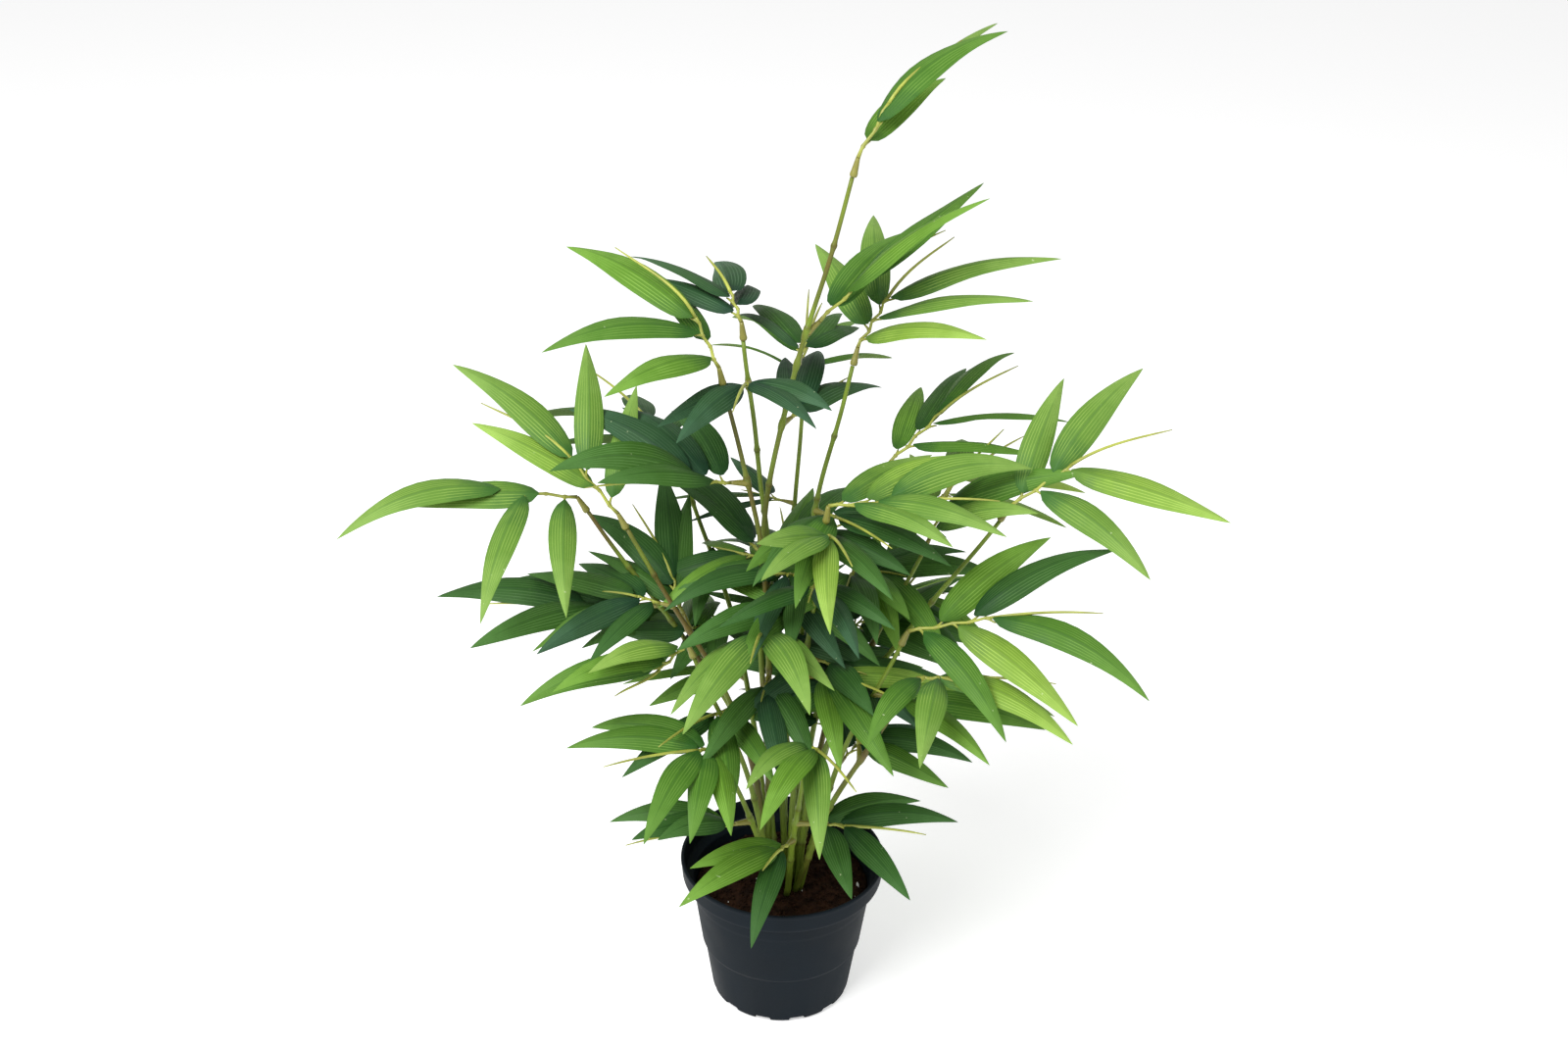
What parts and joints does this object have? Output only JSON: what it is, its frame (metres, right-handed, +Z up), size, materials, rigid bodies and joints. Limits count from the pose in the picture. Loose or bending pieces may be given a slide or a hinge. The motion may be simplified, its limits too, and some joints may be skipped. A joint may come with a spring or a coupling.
{
  "type": "artificial potted bamboo",
  "caption": "Artificial bamboo plant: a bundle of thin canes with sprays of long fabric leaves, fanning out of a round black nursery pot filled with peat-brown soil.",
  "frame": {"origin": "middle of the pot's flat underside, on the surface it stands on", "axes": "+Z up the plant, +X to the plant's right as it is seen from the front, -Y to the front"},
  "size_m": [0.5126, 0.3756, 0.608],
  "materials": {
    "pot_plastic": "satin moulded nursery-pot plastic, near black with a blue-grey cast",
    "peat": "loose dark red-brown peat with a few white grains",
    "cane_plastic": "olive and yellow-green plastic coating on wire, brown in places",
    "leaf_fabric": "printed woven polyester, dark at the stalk and light at the tip, fine pale veins"
  },
  "bodies": {
    "root": {"cane_back_left": "cane_plastic", "cane_back_middle": "cane_plastic", "cane_back_right": "cane_plastic", "cane_centre": "cane_plastic", "cane_front_low": "cane_plastic", "cane_inner": "cane_plastic", "cane_left_far": "cane_plastic", "cane_left_front": "cane_plastic", "cane_left_inner": "cane_plastic", "cane_left_low": "cane_plastic", "cane_left_middle": "cane_plastic", "cane_right_back": "cane_plastic", "cane_right_far": "cane_plastic", "cane_right_front": "cane_plastic", "cane_right_inner": "cane_plastic", "cane_right_middle": "cane_plastic", "cane_second": "cane_plastic", "cane_tall": "cane_plastic", "leaves_back_left_1": "leaf_fabric", "leaves_back_left_2": "leaf_fabric", "leaves_back_middle_1": "leaf_fabric", "leaves_back_middle_2": "leaf_fabric", "leaves_back_right_1": "leaf_fabric", "leaves_back_right_2": "leaf_fabric", "leaves_centre_1": "leaf_fabric", "leaves_centre_2": "leaf_fabric", "leaves_centre_3": "leaf_fabric", "leaves_front_low_1": "leaf_fabric", "leaves_front_low_2": "leaf_fabric", "leaves_front_low_3": "leaf_fabric", "leaves_inner_1": "leaf_fabric", "leaves_inner_2": "leaf_fabric", "leaves_left_far_1": "leaf_fabric", "leaves_left_far_2": "leaf_fabric", "leaves_left_front_1": "leaf_fabric", "leaves_left_inner_1": "leaf_fabric", "leaves_left_inner_2": "leaf_fabric", "leaves_left_inner_3": "leaf_fabric", "leaves_left_low_1": "leaf_fabric", "leaves_left_low_2": "leaf_fabric", "leaves_left_middle_1": "leaf_fabric", "leaves_left_middle_2": "leaf_fabric", "leaves_left_middle_3": "leaf_fabric", "leaves_right_back_1": "leaf_fabric", "leaves_right_far_1": "leaf_fabric", "leaves_right_front_1": "leaf_fabric", "leaves_right_front_2": "leaf_fabric", "leaves_right_inner_1": "leaf_fabric", "leaves_right_inner_2": "leaf_fabric", "leaves_right_middle_1": "leaf_fabric", "leaves_second_1": "leaf_fabric", "leaves_second_2": "leaf_fabric", "leaves_second_3": "leaf_fabric", "leaves_tall_1": "leaf_fabric", "leaves_tall_2": "leaf_fabric", "leaves_tall_3": "leaf_fabric", "leaves_tall_4": "leaf_fabric", "leaves_tall_5": "leaf_fabric", "pot": "pot_plastic", "soil": "peat"}
  },
  "joints": []
}
